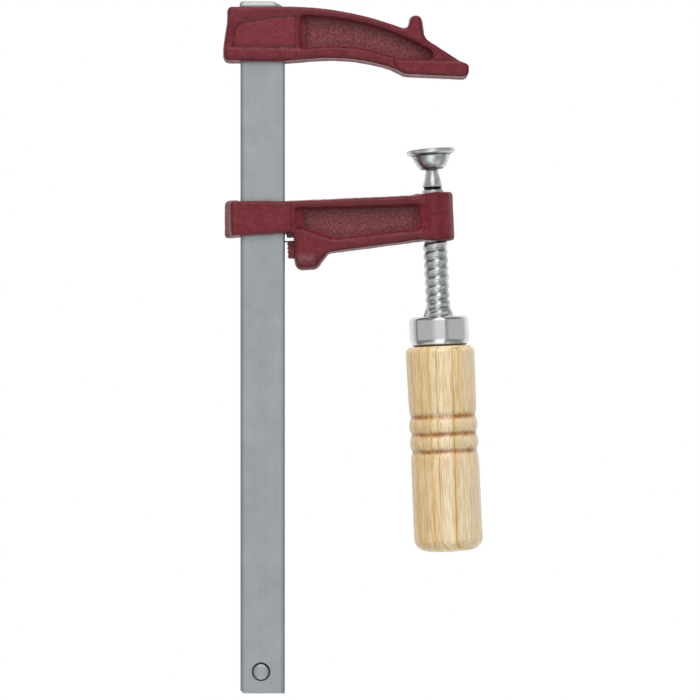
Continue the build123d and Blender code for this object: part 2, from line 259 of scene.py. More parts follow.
castPaint = {
    "base": "#5f131d",
    "bright": "#73202b",
    "deep": "#3b0f15",  # painted shade in the creases, where the coat also runs together
    "edge": "#45161b",  # painted shade: a dark line drawn along the outer edges
    "inset": "#8b4047",  # painted light: a face that lies back from the outermost is drawn a little lighter
    "dusty": "#996869",  # the recesses hold dust and show the sand's grain
    "rubbed": "#a5767c",  # a painted highlight in a band across the heel
    "roughness": 0.28,
    "hollowRoughness": 0.5,
    "peelSize": 1.6,  # orange peel of a thick dipped coat
    "peelDepth": 0.45,
    "sandSize": 0.8,  # grain of the moulding sand
    "speckSize": 2.2,
    "hollowFrom": 5.6,  # half thickness below which the surface lies in a recess
    "hollowTo": 4.2,
    "hollowDust": 0.62,
    "insetFrom": 6.95,
    "insetTo": 6.7,
    "insetDust": 0.12,
}


def addCastPaint(add, place, values):
    # Dark red enamel dipped over a sand casting: glossy on the flats, dull and grainy in the recesses
    axes = add("SeparateXYZ", {0: place})
    depth = add("Math", {"operation": "ABSOLUTE", 0: axes.outputs["Y"]})
    hollow = add("MapRange", {
        "interpolation_type": "SMOOTHSTEP", "From Min": values["hollowFrom"] * mm,
        "From Max": values["hollowTo"] * mm, "Value": depth,
    })
    peel, sand, specks = [
        add("TexNoise", {
            "Scale": patternSize(values[size]), "Detail": detail, "Roughness": roughness,
            "Vector": place,
        })
        for size, detail, roughness in (
            ("peelSize", 2.0, 0.5), ("sandSize", 3.0, 0.65), ("speckSize", 5.0, 0.7),
        )
    ]
    flat = add("ValToRGB", {"stops": [(0.38, values["base"]), (0.62, values["bright"])], "Fac": specks})
    dust = add("ValToRGB", {"stops": [(0.36, values["base"]), (0.68, values["dusty"])], "Fac": sand})
    # painted light on the faces that lie back
    inset = add("MapRange", {
        "From Min": values["insetFrom"] * mm, "From Max": values["insetTo"] * mm,
        "To Max": values["insetDust"], "Value": depth,
    })
    film = add("Mix", {"data_type": "RGBA", "Factor": inset, "A": flat, "B": values["inset"]})
    share = add("Math", {"operation": "MULTIPLY", 0: hollow, 1: values["hollowDust"]})
    colour = add("Mix", {"data_type": "RGBA", "Factor": share, "A": film, "B": dust})
    crease = add("Attribute", {"attribute_name": "crease"}).outputs["Fac"]
    # painted shade in the creases, with the pooled coat
    pooled = add("MapRange", {"From Min": 0.05, "To Max": 0.85, "Value": crease})
    # painted shade: a dark line along the outer edges
    worn = add("MapRange", {"From Min": -0.3, "From Max": -1.0, "To Max": 0.4, "Value": crease})
    # a painted highlight across the heel, broken up by the sand's grain
    scuffs = add("MapRange", {"From Min": 0.25, "From Max": 0.6, "To Min": 0.3, "Value": sand})
    rubbed = add("Attribute", {"attribute_name": "rubbed"}).outputs["Fac"]
    scuffed = add("Math", {"operation": "MULTIPLY", 0: rubbed, 1: scuffs})
    for share, name in ((pooled, "deep"), (worn, "edge"), (scuffed, "rubbed")):
        colour = add("Mix", {"data_type": "RGBA", "Factor": share, "A": colour, "B": values[name]})
    gloss = add("MapRange", {
        "To Min": values["roughness"], "To Max": values["hollowRoughness"], "Value": hollow,
    })
    grain = add("Mix", {"data_type": "FLOAT", "Factor": hollow, "A": peel, "B": sand})
    bump = add("Bump", {"Strength": 0.6, "Distance": values["peelDepth"] * mm, "Height": grain})
    return add("BsdfPrincipled", {
        "IOR": 1.45, "Specular IOR Level": 0.36, "Base Color": colour, "Roughness": gloss,
        "Normal": bump,
    })


drawnSteel = {
    "hammered": "#c2c5c2",
    "light": "#acb1b4",
    "dark": "#9ca2a6",
    # dark colour for painted shade on the bar, and for the stop pin's darker chamfer
    "grime": "#2c2d2e",
    "roughness": 0.4,
    "streakWidth": 0.45,
    "streakLength": 70.0,
    "cloudSize": 9.0,
}


def addDrawnSteel(add, place, values):
    # Cold-drawn mild steel: dull grey, with the faint lines of the drawing die along its length
    streaks = drawnOut(add, place, values["streakWidth"], values["streakLength"])
    clouds = add("TexNoise", {
        "Scale": patternSize(values["cloudSize"]), "Detail": 6.0, "Roughness": 0.65, "Vector": place,
    })
    both = add("Math", {"operation": "MULTIPLY_ADD", 0: streaks, 1: 0.4, 2: clouds})
    metal = add("ValToRGB", {"stops": [(0.45, values["dark"]), (0.95, values["light"])], "Fac": both})
    fresh = layOver(add, metal, "bare", values["hammered"])
    colour = layOver(add, fresh, "grime", values["grime"])
    gloss = add("MapRange", {
        "To Min": values["roughness"] - 0.04, "To Max": values["roughness"] + 0.06, "Value": clouds,
    })
    bump = add("Bump", {"Strength": 0.2, "Distance": 0.02 * mm, "Height": streaks})
    return add("BsdfPrincipled", {
        "Metallic": 1.0, "Base Color": colour, "Roughness": gloss, "Normal": bump,
    })


zincPlate = {
    "clean": "#dcdfdf",
    "dull": "#a6aaab",
    # dark grease, also used as painted shade in the corners
    "grease": "#222a27",
    "roughness": 0.3,
    "spotSize": 2.5,
}


def addZincPlate(add, place, values):
    # Bright zinc plate on turned steel: silvery and fairly sharp, with dark grease and painted shade in
    # its corners
    spots = add("TexNoise", {
        "Scale": patternSize(values["spotSize"]), "Detail": 5.0, "Roughness": 0.6, "Vector": place,
    })
    plate = add("ValToRGB", {"stops": [(0.32, values["dull"]), (0.58, values["clean"])], "Fac": spots})
    colour = layOver(add, plate, "grime", values["grease"])
    gloss = add("MapRange", {
        "To Min": values["roughness"] + 0.1, "To Max": values["roughness"] - 0.05, "Value": spots,
    })
    bump = add("Bump", {"Strength": 0.2, "Distance": 0.05 * mm, "Height": spots})
    return add("BsdfPrincipled", {
        "Metallic": 1.0, "Base Color": colour, "Roughness": gloss, "Normal": bump,
    })


chromePlate = {
    "base": "#d9d9db",
    "roughness": 0.12,
    "smearSize": 6.0,
}


def addChromePlate(add, place, values):
    # Chrome plate on drawn sheet: a near mirror with faint smears
    smears = add("TexNoise", {"Scale": patternSize(values["smearSize"]), "Detail": 4.0, "Vector": place})
    gloss = add("MapRange", {
        "From Min": 0.3, "From Max": 0.7, "To Min": values["roughness"] - 0.02,
        "To Max": values["roughness"] + 0.06, "Value": smears,
    })
    return add("BsdfPrincipled", {"Metallic": 1.0, "Base Color": values["base"], "Roughness": gloss})


beech = {
    "pale": "#ead9b7",
    "tan": "#dfc38e",
    "line": "#ab7639",
    "patch": "#dcbb81",
    "fleck": "#a87b4c",
    "burnt": "#97591c",
    # painted shade in the seam under the ferrule
    "seam": "#2a2119",
    "roughness": 0.42,
    "ringWidth": 4.4,  # one year's growth
    "pith": (-60.0, 24.0),  # the tree's middle, from the handle's axis
    "heartFrom": -1.0,  # darker towards the handle's left side, from here
    "heartTo": -8.0,
    "toneWidth": 7.0,  # slow changes of tone along the grain
    "toneLength": 60.0,
    "patchWidth": 5.0,
    "patchLength": 50.0,
    "fibreWidth": 0.4,
    "fibreLength": 9.0,
    "fleckWidth": 0.3,  # rays cut end on
    "fleckLength": 1.8,
    "grooves": (-141.8, -148.95, -155.9),
    "burnReach": 1.6,
    "burnSize": 4.0,  # the burn is uneven at this size
}


def addBeech(add, place, values):
    # Turned and varnished beech: pale straight grain with a soft tan line for each year,
    # and grooves burnt by friction
    pivot = Vector(leaning["pivot"]) * mm
    fromPivot = add("VectorMath", {"operation": "SUBTRACT", 0: place, 1: pivot})
    square = add("Mapping", {"Rotation": (0, math.radians(leaning["degrees"]), 0), "Vector": fromPivot})
    upright = add("VectorMath", {"operation": "ADD", 0: square, 1: pivot})
    fromPith = add("VectorMath", {
        "operation": "SUBTRACT", 0: upright,
        1: Vector((*values["pith"], 0)) * mm,
    })
    squeezed = add("Mapping", {"Scale": (1, 1, 0.05), "Vector": fromPith})
    rings = add("TexWave", {
        "wave_type": "RINGS", "rings_direction": "Z", "wave_profile": "SAW",
        "Scale": 2 * math.pi / (20 * values["ringWidth"] * mm), "Distortion": 8.0, "Detail": 1.5,
        "Detail Scale": 1.2, "Detail Roughness": 0.6, "Vector": squeezed,
    })
    growth = [
        (0.0, values["tan"]), (0.3, values["pale"]), (0.72, values["pale"]),
        (0.88, values["tan"]), (0.96, values["line"]), (1.0, values["tan"]),
    ]
    year = add("ValToRGB", {"stops": growth, "Fac": rings.outputs["Fac"]})
    tone = drawnOut(add, upright, values["toneWidth"], values["toneLength"], 2.0)
    faint = add("MapRange", {"From Min": 0.35, "From Max": 0.65, "To Max": 0.5, "Value": tone})
    patch = drawnOut(add, upright, values["patchWidth"], values["patchLength"])
    patches = add("ValToRGB", {"stops": [(0.38, values["patch"]), (0.6, values["pale"])], "Fac": patch})
    bands = add("Mix", {"data_type": "RGBA", "Factor": faint, "A": year, "B": patches})
    across = add("SeparateXYZ", {0: upright}).outputs["X"]
    heart = add("MapRange", {
        "interpolation_type": "SMOOTHSTEP", "From Min": values["heartFrom"] * mm,
        "From Max": values["heartTo"] * mm, "To Max": 0.55, "Value": across,
    })
    bands = add("Mix", {"data_type": "RGBA", "Factor": heart, "A": bands, "B": values["patch"]})
    fibres = drawnOut(add, upright, values["fibreWidth"], values["fibreLength"])
    fibreTint = add("ValToRGB", {"stops": [(0.35, "#d9ccb6"), (0.6, "#ffffff")], "Fac": fibres})
    grained = add("Mix", {
        "data_type": "RGBA", "blend_type": "MULTIPLY", "Factor": 0.85, "A": bands, "B": fibreTint,
    })
    flecks = drawnOut(add, upright, values["fleckWidth"], values["fleckLength"], 1.0)
    fleckShare = add("MapRange", {"From Min": 0.66, "From Max": 0.76, "To Max": 0.45, "Value": flecks})
    flecked = add("Mix", {"data_type": "RGBA", "Factor": fleckShare, "A": grained, "B": values["fleck"]})
    height = add("SeparateXYZ", {0: upright}).outputs["Z"]
    burn = None
    for groove in values["grooves"]:
        above = add("Math", {"operation": "SUBTRACT", 0: height, 1: groove * mm})
        apart = add("Math", {"operation": "ABSOLUTE", 0: above})
        near = add("MapRange", {
            "interpolation_type": "SMOOTHSTEP", "From Min": values["burnReach"] * mm,
            "From Max": 0.1 * mm, "Value": apart,
        })
        if burn is None:
            burn = near
        else:
            burn = add("Math", {"operation": "MAXIMUM", 0: burn, 1: near})
    patchy = add("TexNoise", {"Scale": patternSize(values["burnSize"]), "Detail": 3.0, "Vector": upright})
    strength = add("MapRange", {"From Min": 0.35, "From Max": 0.62, "To Min": 0.35, "Value": patchy})
    share = add("Math", {"operation": "MULTIPLY", 0: burn, 1: strength})
    colour = add("Mix", {"data_type": "RGBA", "Factor": share, "A": flecked, "B": values["burnt"]})
    colour = layOver(add, colour, "grime", values["seam"])
    bump = add("Bump", {"Strength": 0.25, "Distance": 0.05 * mm, "Height": fibres})
    return add("BsdfPrincipled", {
        "Roughness": values["roughness"], "Coat Weight": 0.5, "Coat Roughness": 0.15,
        "Base Color": colour, "Normal": bump,
    })


blackSpring = {
    "light": "#2b2c2d",
    "dark": "#151515",
    "roughness": 0.4,
    "scaleSize": 1.5,
}


def addBlackSpring(add, place, values):
    # Spring steel blackened by its hardening: near black with a low sheen
    scale = add("TexNoise", {"Scale": patternSize(values["scaleSize"]), "Detail": 4.0, "Vector": place})
    colour = add("ValToRGB", {"stops": [(0.4, values["dark"]), (0.6, values["light"])], "Fac": scale})
    return add("BsdfPrincipled", {
        "Metallic": 0.8, "Roughness": values["roughness"], "Base Color": colour,
    })


enamel = newMaterial("Red enamel on sand-cast iron", addCastPaint, castPaint)
barSteel = newMaterial("Cold-drawn steel", addDrawnSteel, drawnSteel)
padZinc = newMaterial("Bright zinc plate", addZincPlate, zincPlate)
screwZinc = newMaterial("Greasy zinc plate", addZincPlate, {**zincPlate, "roughness": 0.28})
chrome = newMaterial("Chrome plate", addChromePlate, chromePlate)
handleWood = newMaterial("Varnished beech", addBeech, beech)
springSteel = newMaterial("Blackened spring steel", addBlackSpring, blackSpring)
print("materials made")


# Bar

bar = {
    "left": -78.5,
    "width": 18.0,
    "thickness": 6.0,
    "bottom": -250.9,
    "shoulder": 28.6,  # where the riveted end starts
    "edgeRound": 0.55,
    "band": 1.9,  # the die leaves a slightly lower band along each edge
    "bandDrop": 0.12,
    "spread": 0.3,  # how far the hammered end spreads
    "crown": 0.75,
    "cornerCut": 1.3,
    "slopeFrom": (-65.3, 30.6),
    "slopeTo": (-58.0, 26.8),
}


def makeBar(values):
    length = values["shoulder"] - values["bottom"]
    centre = (values["left"] + values["width"] / 2, 0, values["bottom"] + length / 2)
    piece = addBlock("flatBar", centre, (values["width"], values["thickness"], length))
    startEdit(piece, "EDGE")
    pick(piece, "edges", lambda edge: runsAlong(edge, 2))
    bpy.ops.mesh.bevel(offset=values["edgeRound"] * mm, segments=4)
    halfFlat = values["width"] / 2 - values["band"]
    for side in (-1, 1):
        sliceAt((centre[0] + side * halfFlat, 0, 0), (side, 0, 0), keepAll=True)
    pick(piece, "verts", lambda vert: abs(vert.co.x - centre[0] * mm) > (halfFlat + 0.1) * mm)
    lower = 1 - 2 * values["bandDrop"] / values["thickness"]
    bpy.ops.transform.resize(value=(1, lower, 1), center_override=[c * mm for c in centre])
    bpy.ops.mesh.select_mode(type="FACE")
    pick(piece, "faces", lambda face: face.normal.z > 0.9)
    rivet = [c * mm for c in (centre[0], 0, values["shoulder"])]
    steps = (
        (0.0, values["spread"]),
        (0.9, 0.0),
        (0.7, -0.35 * values["crown"]),
        (0.4, -0.65 * values["crown"]),
    )
    for rise, grow in steps:
        extrude(0, rise)
        wider = [1 + 2 * grow / size for size in (values["width"], values["thickness"])]
        bpy.ops.transform.resize(value=(wider[0], wider[1], 1), center_override=rivet)
    start, end = values["slopeFrom"], values["slopeTo"]
    slope = Vector((start[1] - end[1], 0, end[0] - start[0])).normalized()
    sliceAt((start[0], 0, start[1]), slope)
    sliceAt((start[0], 0, 0), (1, 0, 0), keepAll=True)
    sliceAt((values["left"], 0, values["bottom"] + values["cornerCut"]), (-1, 0, -1))
    bpy.ops.mesh.select_mode(type="EDGE")
    lowest = values["bottom"] * mm
    pick(piece, "edges", lambda edge: all(abs(vert.co.z - lowest) < 0.01 * mm for vert in edge.verts))
    bpy.ops.mesh.bevel(offset=0.35 * mm, segments=2)
    endEdit()
    closeUp(piece)
    return piece


flatBar = makeBar(bar)


# Stop pin

stopPin = {
    "centre": (-70.1, -242.0),
    "radius": 3.75,
    "stand": 1.3,
    "chamfer": 0.65,
}


def makePin(values):
    # a row of rings, from the middle of the pin out to its slightly domed end, turned about the pin's axis
    x, z = values["centre"]
    half = bar["thickness"] / 2 + values["stand"]
    flat = values["radius"] - values["chamfer"]
    deselectAll()
    bpy.ops.mesh.primitive_circle_add(vertices=72, radius=values["radius"] * mm, fill_type="NGON")
    piece = bpy.context.object
    piece.name = "stopPin"
    startEdit(piece, "FACE")
    pickAll()
    rings = (
        (half - 1.1, values["radius"]),
        (half - 0.95, values["radius"] - 0.12),
        (half - 0.3, flat + 0.1),
        (half - 0.18, flat - 0.05),
        (half - 0.08, 0.6 * flat),
        (half, 0.2 * flat),
    )
    height, radius = 0, values["radius"]
    for top, wide in rings:
        extrude(0, top - height)
        bpy.ops.transform.resize(value=(wide / radius, wide / radius, 1), center_override=(0, 0, 0))
        height, radius = top, wide
    pick(piece, "faces", lambda face: abs(face.calc_center_median().z) < 0.01 * mm)
    bpy.ops.mesh.delete(type="FACE")
    endEdit()
    applyModifier(piece, "MIRROR", use_axis=(False, False, True), merge_threshold=0.01 * mm)
    closeUp(piece)
    activate(piece)
    bpy.ops.transform.rotate(value=math.pi / 2, orient_axis="X", center_override=(0, 0, 0))
    bpy.ops.transform.translate(value=(x * mm, 0, z * mm))
    settle(piece)
    return piece


pin = makePin(stopPin)
deselectAll()
bpy.ops.mesh.primitive_cylinder_add(
    vertices=72, radius=(stopPin["radius"] + 0.02) * mm, depth=20 * mm,
    location=(stopPin["centre"][0] * mm, 0, stopPin["centre"][1] * mm), rotation=(math.pi / 2, 0, 0),
)
cutWith(flatBar, bpy.context.object)
shadeSmooth(flatBar, 35, flatFaces=True)
shadeSmooth(pin, 35)


def barGrime(place):
    # painted shade: the struck end's slope is dark, and the drawn edges are a little darker than the flats
    if place.z > bar["shoulder"] + 0.1 and place.x > bar["slopeFrom"][0] + 0.05:
        return 0.85
    fromMiddle = abs(place.x - bar["left"] - bar["width"] / 2)
    return 0.3 if fromMiddle > bar["width"] / 2 - 0.7 else 0.0


def pinGrime(place):
    # the chamfer round the pin is drawn dark
    x, z = stopPin["centre"]
    fromMiddle = math.hypot(place.x - x, place.z - z)
    return 0.9 if fromMiddle > stopPin["radius"] - stopPin["chamfer"] + 0.08 else 0.0


addReading(flatBar, "grime", atEach(flatBar, barGrime))
addReading(flatBar, "bare", atEach(flatBar, lambda place: float(place.z > bar["shoulder"] + 0.1)))
addReading(pin, "grime", atEach(pin, pinGrime))
takePlace(flatBar, "frame", "bar_steel", barSteel, "bar")
takePlace(pin, "frame", "bar_steel", barSteel, "stop_pin")


# Castings: the solid's own form with its outer edges rounded as sand and enamel leave them

casting = {
    "cell": 0.22,  # the size of the faces it is rebuilt from
    "stepRadius": 0.65,  # rounding of the small steps on its faces
    "recessRadius": 1.5,  # of the recesses' floors
    "edgeRadius": 1.9,  # of the outer edges
    "blendRadius": 2.6,  # and where the arm's flanges run out into the boss
    "stepPull": (0.004, 0.02),  # a step is pulled in this far by smoothing, or up to this much further
    "edgePull": (0.06, 0.1),  # and so is an outer edge
    "recess": 5.6,  # half thickness below which the surface belongs to a recess
    "creaseWidth": 1.4,
    "creaseFull": 0.05,  # a crease this deep gets the darkest painted shade
    "creaseLeast": 0.02,
    "creaseCut": 0.1,  # the creases are this much deeper than drawn
    "creaseSpread": 0.55,  # how far the painted shade in a crease spreads
    "outerFace": 6.3,  # further in than this the creases are fainter
    "innerShare": 0.5,
    "lump": 6.0,  # slow unevenness of the mould
    "lumpDepth": 0.25,
    "grain": 1.2,
    "grainDepth": 0.1,
    "recessGrainDepth": 0.18,
    "triangles": 190000,  # what each casting is thinned out to at the end
}


def rebuildSolid(name, node, values):
    # a copy of the solid made of small even faces
    piece = bpy.data.objects.new(name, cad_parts[node].data.copy())
    bpy.context.scene.collection.objects.link(piece)
    closeUp(piece, 0.001)
    applyModifier(piece, "REMESH", mode="VOXEL", voxel_size=values["cell"] * mm, adaptivity=0.0)
    applyModifier(piece, "SMOOTH", factor=0.5, iterations=3)
    return piece


def passesFor(values, width):
    # smoothing passes that round an edge over that width
    return round(2 * (values[width] / values["cell"]) ** 2)


def outwardMoves(piece, passes):
    # how far smoothing would move each vertex outwards: less than nothing on an outer edge
    soft = bpy.data.objects.new(piece.name + "Soft", piece.data.copy())
    bpy.context.scene.collection.objects.link(soft)
    applyModifier(soft, "SMOOTH", factor=0.5, iterations=passes)
    pairs = zip(piece.data.vertices, soft.data.vertices)
    moves = [(softened.co - vert.co).dot(vert.normal) for vert, softened in pairs]
    bpy.data.objects.remove(soft, do_unlink=True)
    return moves


def groupVerts(piece, name, weights):
    group = piece.vertex_groups.new(name=name)
    for index, weight in enumerate(weights):
        group.add([index], max(0.0, min(weight, 1.0)), "REPLACE")


def roundEdges(piece, values, soft, blend):
    moves = outwardMoves(piece, passesFor(values, "edgeRadius"))
    weights = {"blend": blend}
    for group in ("step", "edge"):
        least, more = values[group + "Pull"]
        weights[group] = [share * (-move / mm - least) / more for move, share in zip(moves, soft)]
    weights["recess"] = [
        share if abs(vert.co.y) < values["recess"] * mm else 0.0
        for vert, share in zip(piece.data.vertices, soft)
    ]
    for group in ("step", "recess", "edge", "blend"):
        groupVerts(piece, group, weights[group])
        passes = passesFor(values, group + "Radius")
        applyModifier(piece, "SMOOTH", factor=0.5, iterations=passes, vertex_group=group)


def findCreases(piece, values, soft):
    # from 1 in a deep crease to -1 on an outer edge, with the creases blurred a little as a group too
    creases = []
    for move, vert in zip(outwardMoves(piece, passesFor(values, "creaseWidth")), piece.data.vertices):
        crease = max(-1.0, min(1.0, move / (values["creaseFull"] * mm)))
        if crease > 0 and abs(vert.co.y) < values["outerFace"] * mm:
            crease *= values["innerShare"]
        creases.append(crease)
    groupVerts(piece, "crease", [crease * share for crease, share in zip(creases, soft)])
    piece.vertex_groups.active = piece.vertex_groups["crease"]
    startEdit(piece)
    pickAll()
    bpy.ops.object.vertex_group_smooth(
        group_select_mode="ACTIVE", factor=0.5, repeat=passesFor(values, "creaseSpread")
    )
    endEdit()
    creases = [min(crease, 0.0) for crease in creases]
    for vert in piece.data.vertices:
        for entry in vert.groups:
            if entry.group == piece.vertex_groups.active_index and entry.weight > values["creaseLeast"]:
                creases[vert.index] = entry.weight
    return creases


def roughen(piece, values):
    # slow lumps and fine grain all over, and more of the grain in the recesses
    for size, depth, group in (
        ("lump", "lumpDepth", ""),
        ("grain", "grainDepth", ""),
        ("grain", "recessGrainDepth", "recess"),
    ):
        texture = bpy.data.textures.new(piece.name + "Surface", "CLOUDS")
        texture.noise_scale = values[size] * mm
        texture.noise_depth = 2
        applyModifier(
            piece, "DISPLACE", texture=texture, texture_coords="LOCAL",
            strength=values[depth] * mm, mid_level=0.5, vertex_group=group,
        )


def makeCasting(name, node, values, softness, blending, shade):
    piece = rebuildSolid(name, node, values)
    soft = atEach(piece, softness)
    roundEdges(piece, values, soft, atEach(piece, blending))
    creases = findCreases(piece, values, soft)
    cut = -values["creaseCut"] * mm
    applyModifier(piece, "DISPLACE", vertex_group="crease", strength=cut, mid_level=0.0)
    applyModifier(piece, "SMOOTH", factor=0.5, iterations=2)
    roughen(piece, values)
    piece.vertex_groups.clear()
    # the shade rule adds its painted shade to the crease reading
    addReading(piece, "crease", [max(pair) for pair in zip(creases, atEach(piece, shade))])
    applyModifier(piece, "DECIMATE", ratio=values["triangles"] / (2 * len(piece.data.polygons)))
    shadeSmooth(piece, 180)
    return piece


armZones = {
    "biteEdge": (-61.5, -57.0),  # the narrow lug with the teeth
    "biteTop": -63.5,
    "slotFoot": -66.5,  # the spring's slot lies above this
    # painted shade between the teeth
    "toothPaint": 0.45,
    "boss": -1.0,  # from here on
    "bossSoftness": 0.15,
    "runOut": (-11.5, 2.5),  # where the flanges start to fade out, and over what length
    "runOutEnd": (0.5, 3.0),
    "web": 2.0,
    "rear": -83.0,
    "rearBlend": 0.35,
    "foot": -74.5,
    "footBlend": 0.25,
}


def armSoftness(place):
    # the teeth stay sharp, and the machined boss nearly so
    if place.x < armZones["biteEdge"][1] and place.z < armZones["biteTop"]:
        return 0.0
    return armZones["bossSoftness"] if place.x > armZones["boss"] else 1.0


def armBlending(place):
    # the arm's flanges and recess fade out before they reach the boss, and the loop's rear edge is rounder
    start, length = armZones["runOut"]
    end, endLength = armZones["runOutEnd"]
    nearBoss = min((place.x - start) / length, (end - place.x) / endLength, abs(place.y) - armZones["web"])
    rear = min(armZones["rear"] - place.x, armZones["rearBlend"])
    foot = min(armZones["foot"] - place.z, armZones["footBlend"])
    return max(nearBoss, rear, foot)


def armShade(place):
    # painted shade: darker between the teeth, and near black round the spring's slot
    left, right = armZones["biteEdge"]
    if not left < place.x < right or place.z > armZones["biteTop"]:
        return -1.0
    return 1.0 if place.z > armZones["slotFoot"] else armZones["toothPaint"]


panelGroove = {
    "right": -50.0,
    "depth": 5.0,
    "blend": 0.2,
}


def headBlending(place):
    # the groove round the fixed jaw's panel is soft
    inGroove = place.x < panelGroove["right"] and abs(place.y) > panelGroove["depth"]
    return panelGroove["blend"] if inGroove else 0.0


fixedJaw = makeCasting(
    "fixedJaw", "fixed_jaw", casting, lambda place: 1.0, headBlending, lambda place: -1.0
)
slidingJaw = makeCasting("slidingJaw", "sliding_jaw", casting, armSoftness, armBlending, armShade)

rearDraft = {
    "from": -80.2,
    "run": 5.4,
    "slope": 0.2,
}


def slopeRear(piece, values):
    # the loop's rear face slopes away from the mould's parting line
    for vert in piece.data.vertices:
        share = (values["from"] - vert.co.x / mm) / values["run"]
        if share > 0:
            vert.co.x += min(share, 1.0) * values["slope"] * abs(vert.co.y)


slopeRear(slidingJaw, rearDraft)

heelScuffs = {
    "left": -56.5,
    "right": -47.5,
    "height": -74.2,
    "spread": 2.6,
    "fade": 3.0,
    "strength": 0.42,
}


def heelRub(place):
    # a painted highlight in a band across both faces of the heel, fading out all round
    aside = min(place.x - heelScuffs["left"], heelScuffs["right"] - place.x) / heelScuffs["fade"]
    near = 1.0 - abs(place.z - heelScuffs["height"]) / heelScuffs["spread"]
    return heelScuffs["strength"] * max(0.0, min(aside, near, 1.0))


addReading(slidingJaw, "rubbed", atEach(slidingJaw, heelRub))
takePlace(fixedJaw, "frame", "jaw_paint", enamel, "fixed_jaw")
takePlace(slidingJaw, "sliding_arm", "jaw_paint", enamel, "sliding_jaw")


# Turned pieces

def profileChain(name, profile):
    # draws half a profile in the XZ plane: each corner has a radius, a height and perhaps a rounding
    deselectAll()
    bpy.ops.mesh.primitive_plane_add(size=mm)
    piece = bpy.context.object
    piece.name = name
    startEdit(piece, "VERT")
    pickAll()
    bpy.ops.mesh.merge(type="CENTER")
    bpy.ops.transform.translate(value=(profile[0][0] * mm, 0, profile[0][1] * mm))
    for last, corner in zip(profile, profile[1:]):
        extrude(corner[0] - last[0], corner[1] - last[1])
    for radius, height, *rounding in profile:
        if rounding:
            place = Vector((radius, 0, height)) * mm
            pick(piece, "verts", lambda vert: (vert.co - place).length < 0.001 * mm)
            bpy.ops.mesh.bevel(offset=rounding[0] * mm, segments=6, affect="VERTICES")
    return piece


def turn(name, profile, steps=96):
    piece = profileChain(name, profile)
    pickAll()
    bpy.ops.mesh.spin(steps=steps, angle=2 * math.pi, center=(0, 0, 0), axis=(0, 0, 1))
    endEdit()
    closeUp(piece)
    return piece


# Spindle: forged in one piece with its ball, thread and wings

screw = {
    "crest": 5.0,
    "root": 4.5,
    "pitch": 3.5,
    "turns": 15,
    "stepsPerTurn": 48,
    "top": -50.9,
    "bottom": -101.1,
    "leadIn": 0.8,  # length of the chamfer where the thread starts
    "collar": 4.5,  # plain end above the thread
    "collarTop": -49.3,
    "ball": 3.7,
    "ballHeight": -37.6,
    "neckTop": 2.2,
    "neckBottom": 4.1,
    "shank": 4.0,
    "shankEnd": -160.0,
    "threadGrease": 0.22,
    "wingReach": 6.3,
    "wingHeight": 5.2,
    "wingThickness": 1.8,
    "wingTurn": 20.0,
}


def makeThread(values):
    root, crest, pitch = values["root"], values["crest"], values["pitch"]
    top, bottom, wide = values["top"], values["bottom"], values["crest"] + 0.01
    ridge = ((root, 0.0), (root, 0.12), (crest, 0.32), (crest, 0.7), (root, 0.9), (root, 1.0))
    piece = profileChain("thread", [(radius, share * pitch + bottom - pitch) for radius, share in ridge])
    pick(piece, "verts", lambda vert: len(vert.link_edges) == 2)
    bpy.ops.mesh.bevel(offset_type="PERCENT", offset_pct=40, segments=4, affect="VERTICES")
    endEdit()
    applyModifier(
        piece, "SCREW", axis="Z", angle=2 * math.pi, screw_offset=pitch * mm,
        iterations=values["turns"] + 3, steps=values["stepsPerTurn"],
        render_steps=values["stepsPerTurn"], use_merge_vertices=True, merge_threshold=0.001 * mm,
    )
    closeUp(piece, 0.002)
    startEdit(piece, "VERT")
    sliceAt((0, 0, bottom), (0, 0, -1))
    sliceAt((0, 0, top), (0, 0, 1))
    endEdit()
    closeUp(piece, 0.002)
    crop = turn("threadCrop", [
        (0, top + 1),
        (root, top + 1),
        (root, top),
        (wide, top - values["leadIn"]),
        (wide, bottom - 1),
        (0, bottom - 1),
    ])
    cutWith(piece, crop, "INTERSECT")
    return piece


def makeWing(values, side):
    # one of the two ears swaged out of the shank, tapering towards the thread
    bottom, reach, height = values["bottom"], values["wingReach"], values["wingHeight"]
    centre = (side * reach / 2, 0, bottom + height / 2)
    wing = addBlock("wing", centre, (reach, values["wingThickness"], height))
    startEdit(wing, "VERT")
    upper = (bottom + height) * mm
    pick(wing, "verts", lambda vert: abs(vert.co.z - upper) < 0.01 * mm and vert.co.x * side > 0.01 * mm)
    bpy.ops.transform.translate(value=(side * (values["root"] - reach) * mm, 0, 0))
    pickAll()
    bpy.ops.mesh.select_mode(type="EDGE")
    bpy.ops.mesh.bevel(offset=0.3 * mm, segments=2)
    endEdit()
    activate(wing)
    bpy.ops.transform.rotate(
        value=math.radians(values["wingTurn"]), orient_axis="Z", center_override=(0, 0, 0)
    )
    settle(wing)
    return wing


def threadGrime(place):
    # black grease and painted shade in the groove over the collar, and a little of both in the thread's
    # roots
    if place.z > screw["top"]:
        return 1.0 if abs(place.z - screw["collarTop"] - 0.3) < 0.55 else 0.0
    depth = (screw["crest"] - math.hypot(place.x, place.y)) / (screw["crest"] - screw["root"])
    return screw["threadGrease"] * min(max(depth, 0.0), 1.0)


